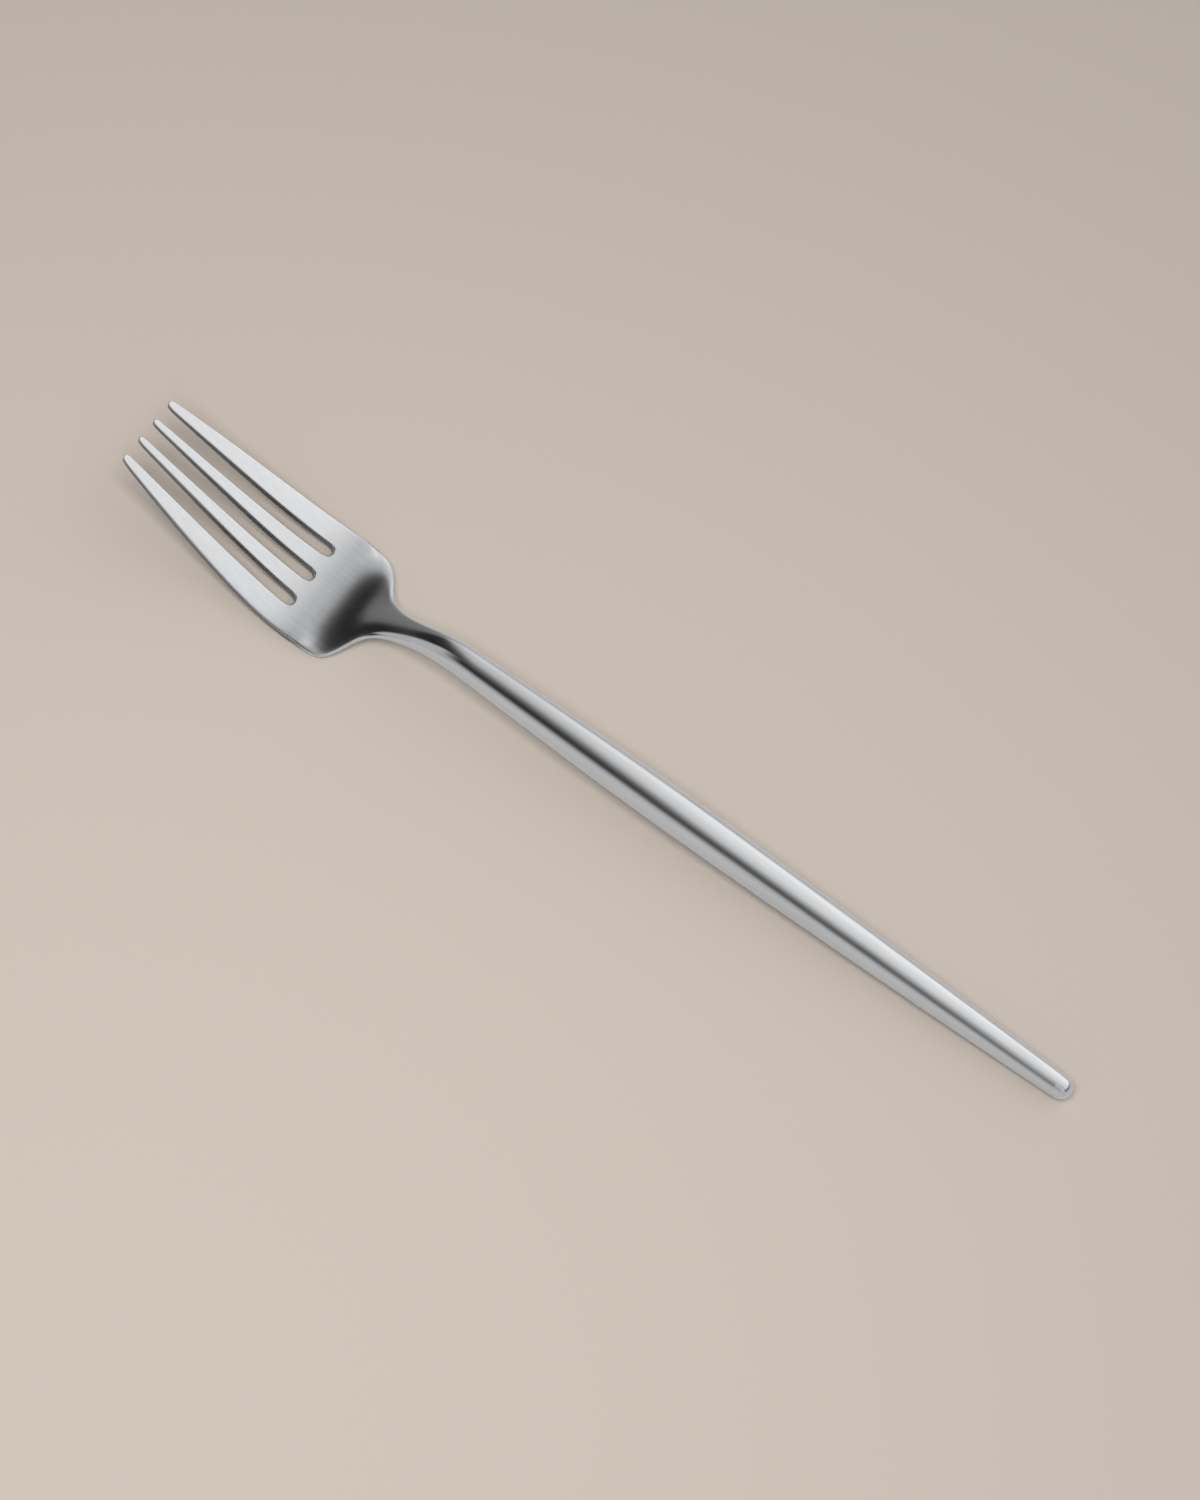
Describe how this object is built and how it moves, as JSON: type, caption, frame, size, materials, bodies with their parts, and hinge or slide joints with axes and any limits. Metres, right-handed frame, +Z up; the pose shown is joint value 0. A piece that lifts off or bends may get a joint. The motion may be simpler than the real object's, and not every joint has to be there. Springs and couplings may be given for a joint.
{
  "type": "salad fork",
  "caption": "Slim stainless steel salad fork: flat tines and bowl, soft shoulders, narrow neck and a round tapered handle with a rounded end.",
  "frame": {"origin": "middle of the fork on the table it lies on, bowl facing up", "axes": "+X along the fork from the tine tips to the handle's end, +Y across the tines, +Z up from the table"},
  "size_m": [0.1798, 0.0222, 0.0118],
  "materials": {
    "forged_steel": "forged stainless steel, satin polished along the tines",
    "handle_steel": "swaged stainless steel tube, satin polished along its length",
    "bedding_resin": "set grey resin, hidden in the handle",
    "plug_steel": "turned stainless steel, satin polished flush with the handle"
  },
  "bodies": {
    "root": {"fork_head": "forged_steel", "handle_tube": "handle_steel", "tang_bedding": "bedding_resin", "end_plug": "plug_steel"}
  },
  "joints": []
}
